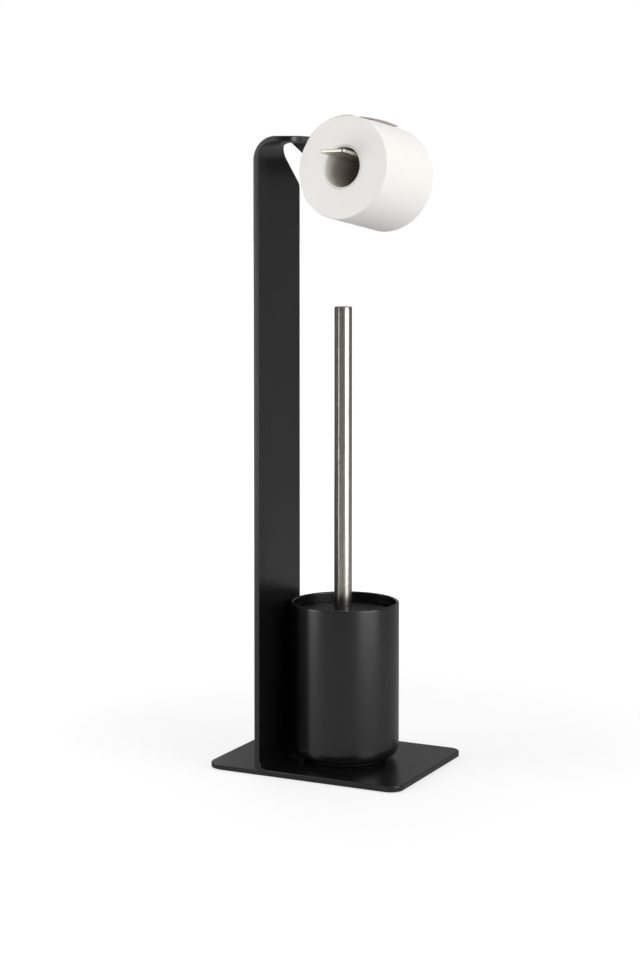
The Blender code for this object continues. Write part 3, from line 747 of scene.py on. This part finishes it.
# Cup: a spun steel pot with a rounded lower edge and a round 3 mm rim, powder
# coated inside and out. A rubber ring under it keeps it from sliding.
low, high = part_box("brush_cup")
CUP_CENTRE = (low.x + high.x) / 2, (low.y + high.y) / 2
CUP_RADIUS = (high.x - low.x) / 2
CUP_WALL = 3.0 * MM
CUP_ROUND_WIDE, CUP_ROUND_HIGH = 6.5 * MM, 12.0 * MM
inner = CUP_RADIUS - CUP_WALL
fall = np.radians(np.linspace(0, 90, 15))[:, None]
around_edge = np.concatenate([np.cos(fall), -np.sin(fall)], 1)
oval_centre = np.array([CUP_RADIUS - CUP_ROUND_WIDE, low.z + CUP_ROUND_HIGH])
oval_inside = oval_centre + around_edge[::-1] * [CUP_ROUND_WIDE - CUP_WALL, CUP_ROUND_HIGH - CUP_WALL]
oval_outside = oval_centre + around_edge * [CUP_ROUND_WIDE, CUP_ROUND_HIGH]
turn = np.radians(np.linspace(170, 10, 9))[:, None]
rim_centre = [CUP_RADIUS - CUP_WALL / 2, high.z - CUP_WALL / 2]
rim = rim_centre + CUP_WALL / 2 * np.concatenate([np.cos(turn), np.sin(turn)], 1)
cup_profile = np.concatenate([[[0, low.z + CUP_WALL]], oval_inside, rim, oval_outside, [[0, low.z]]])
cup = turned("brush_cup_coated", cup_profile, (*CUP_CENTRE, 0.0), steps=192)
dress(cup, powder)
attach(cup, "cup")
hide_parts("brush_cup")

# Moulded rubber: black with a faint grey bloom, dull and slightly rough.
rubber, tree, shader = material("moulded_rubber", 0.75)
bloom = noise(tree, coordinates(tree), 5 * MM, 3.0)
shade_between(tree, shader, bloom.outputs["Fac"], "#070708", "#0d0d0e")
relief(tree, shader, noise(tree, coordinates(tree), 0.4 * MM).outputs["Fac"], 0.03 * MM, 0.5)
low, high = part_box("cup_foot")
radius = (high.x - low.x) / 2
foot = turned("cup_foot_ring", round_corners([
    (radius, high.z, 0.8 * MM), (radius, low.z, 0.8 * MM),
    (radius - 6 * MM, low.z, 0.8 * MM), (radius - 6 * MM, high.z, 0.8 * MM)], 4),
    (*CUP_CENTRE, 0.0), closed=True)
dress(foot, rubber)
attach(foot, "cup")
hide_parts("cup_foot")


# Liner and splash lid: injection-moulded black polypropylene, spark-eroded to
# a fine satin texture. The lid rides on the brush and rests on the liner.
# Moulded polypropylene: a spark-eroded mould leaves it satin and finely grained.
moulded, tree, shader = material("moulded_polypropylene", 0.5, ior=1.49)
texture = noise(tree, coordinates(tree), 0.5 * MM, 2.0)
shade_between(tree, shader, texture.outputs["Fac"], "#080809", "#0c0c0d")
vary(tree, texture.outputs["Fac"], 0.46, 0.56, shader.inputs["Roughness"])
relief(tree, shader, texture.outputs["Fac"], 0.02 * MM, 0.5)

low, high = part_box("cup_liner")
radius = (high.x - low.x) / 2
LINER_WALL = 1.8 * MM
LINER_LIP = 4.4 * MM
inner = radius - LINER_WALL
liner = turned("cup_liner_moulded", round_corners([
    (0.0, low.z + LINER_WALL, 0.0), (inner, low.z + LINER_WALL, 8 * MM),
    (inner, high.z - LINER_WALL - LINER_LIP, 1 * MM),
    (inner - LINER_LIP, high.z - LINER_WALL, 0.5 * MM),
    (inner - LINER_LIP, high.z, 0.4 * MM), (radius, high.z, 0.8 * MM), (radius, low.z, 10 * MM),
    (0.0, low.z, 0.0)], 6), (*CUP_CENTRE, 0.0))
dress(liner, moulded)
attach(liner, "cup")
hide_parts("cup_liner")

low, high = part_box("splash_lid")
BRUSH_CENTRE = (low.x + high.x) / 2, (low.y + high.y) / 2
LID_RADIUS = (high.x - low.x) / 2
LID_GROOVE, GROOVE_DEEP = 44.0 * MM, 0.8 * MM
lid = turned("splash_lid_moulded", round_corners([
    (9.0 * MM, high.z, 0.2 * MM), (LID_GROOVE - 1.2 * MM, high.z - 0.1 * MM, 0.4 * MM),
    (LID_GROOVE - 0.5 * MM, high.z - GROOVE_DEEP, 0.3 * MM),
    (LID_GROOVE + 0.5 * MM, high.z - GROOVE_DEEP, 0.3 * MM),
    (LID_GROOVE + 1.2 * MM, high.z - 0.1 * MM, 0.4 * MM), (LID_RADIUS, high.z - 0.1 * MM, 1.1 * MM),
    (LID_RADIUS, low.z, 0.4 * MM), (4.3 * MM, low.z, 0.2 * MM), (4.3 * MM, high.z, 0.2 * MM)], 4),
    (*BRUSH_CENTRE, 0.0), closed=True)
dress(lid, moulded)
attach(lid, "brush")
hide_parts("splash_lid")


# Handle: a 20 mm stainless tube, belt brushed along its length and closed with
# a pressed cap. A plastic plug in its lower end holds the brush stem.
handle_steel = brushed_steel("brushed_stainless_handle", "#c4beb6", "#d8d2ca", (1, 1, 0.015), 0.24)
low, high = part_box("handle_tube")
HANDLE_RADIUS = (high.x - low.x) / 2
HANDLE_WALL = 1.0 * MM
tube = turned("handle_tube_brushed", round_corners([
    (HANDLE_RADIUS, high.z, 0.15 * MM), (HANDLE_RADIUS, low.z, 0.3 * MM),
    (HANDLE_RADIUS - HANDLE_WALL, low.z, 0.3 * MM),
    (HANDLE_RADIUS - HANDLE_WALL, high.z, 0.15 * MM)], 4),
    (*BRUSH_CENTRE, 0.0), closed=True)
dress(tube, handle_steel)
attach(tube, "brush")
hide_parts("handle_tube")

low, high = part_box("handle_cap")
plug = HANDLE_RADIUS - HANDLE_WALL - 0.3 * MM
CAP_HIGH = 1.8 * MM
cap = turned("handle_cap_brushed", round_corners([
    (0.0, high.z, 0.0), (HANDLE_RADIUS - 0.5 * MM, high.z, 0.5 * MM),
    (HANDLE_RADIUS, high.z - 0.6 * MM, 0.5 * MM), (HANDLE_RADIUS, high.z - CAP_HIGH, 0.1 * MM),
    (plug, high.z - CAP_HIGH, 0.0), (plug, low.z, 0.5 * MM), (0.0, low.z, 0.0)], 5),
    (*BRUSH_CENTRE, 0.0))
dress(cap, handle_steel)
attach(cap, "brush")
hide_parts("handle_cap")
dress(frame["nodes"]["handle_insert"], moulded)
dress(frame["nodes"]["brush_stem"], moulded)


# Brush head: a moulded core with rings of drilled holes, each stapled with a
# tuft of black nylon filaments that fan out slightly from the hole.
dress(frame["nodes"]["brush_head"], moulded)
low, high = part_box("brush_bristles")
TUFT_ROWS, TUFTS_AROUND, FILAMENTS = 12, 22, 9
FILAMENT = 0.55 * MM
HEAD_RADIUS = 9.6 * MM
tip_reach = (high.x - low.x) / 2
dice = np.random.default_rng(11)
level = low.z + 9 * MM + (high.z - low.z - 18 * MM) * np.arange(TUFT_ROWS) / (TUFT_ROWS - 1)
level, spot, _ = np.meshgrid(level, np.arange(TUFTS_AROUND), np.arange(FILAMENTS), indexing="ij")
spot = spot + 0.5 * (np.round((level - low.z) / (5.8 * MM)) % 2)
turn = 2 * math.pi * spot / TUFTS_AROUND
fan_turn = turn + dice.normal(0, 0.075, turn.shape)
rise = dice.normal(0, 2.2 * MM, turn.shape) + (level - (low.z + high.z) / 2) * 0.16
start = np.stack([HEAD_RADIUS * np.cos(turn), HEAD_RADIUS * np.sin(turn), level], -1).reshape(-1, 3)
fullness = np.clip((level - low.z) / (16 * MM), 0.0, 1.0) ** 0.5
reach = (tip_reach - FILAMENT) * (0.72 + 0.27 * fullness) - dice.uniform(0, 1.0 * MM, turn.shape)
end = np.stack([reach * np.cos(fan_turn), reach * np.sin(fan_turn),
                np.clip(level + rise, low.z + FILAMENT, high.z - FILAMENT)], -1).reshape(-1, 3)
way = np.linspace(0, 1, 4)[None, :, None]
spine = start[:, None] * (1 - way) + end[:, None] * way
spine[:, :, 2] -= (1.0 * MM * np.sin(math.pi * way / 2) ** 2 * (way > 0.1))[:, :, 0]
spine[:, :, 2] = np.clip(spine[:, :, 2], low.z + FILAMENT, high.z)
outwards = (end - start) / np.linalg.norm(end - start, axis=1)[:, None]
sideways = np.cross(outwards, [0, 0, 1])
sideways /= np.linalg.norm(sideways, axis=1)[:, None]
upwards = np.cross(sideways, outwards)
corners = np.linspace(0, 2 * math.pi, 5)[:-1]
ring = np.cos(corners)[None, :, None] * sideways[:, None]
ring = ring + np.sin(corners)[None, :, None] * upwards[:, None]
points = (spine[:, :, None] + ring[:, None] * FILAMENT / 2).reshape(-1, 3)
one = np.concatenate([grid_faces(4, 4, wrap_columns=True)[:, ::-1], [[12, 13, 14, 15], [3, 2, 1, 0]]])
faces = (one[None] + 16 * np.arange(len(spine))[:, None, None]).reshape(-1, 4)
bristles = skin("bristle_tufts", points, faces)
# Nylon filament: extruded and black, glossy along each hair, its tone a little uneven.
nylon, tree, shader = material("nylon_filament", 0.4, ior=1.53)
tint = noise(tree, coordinates(tree), 4 * MM)
shade_between(tree, shader, tint.outputs["Fac"], "#161617", "#29292b")
dress(bristles, nylon)
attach(bristles, "brush")
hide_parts("brush_bristles")
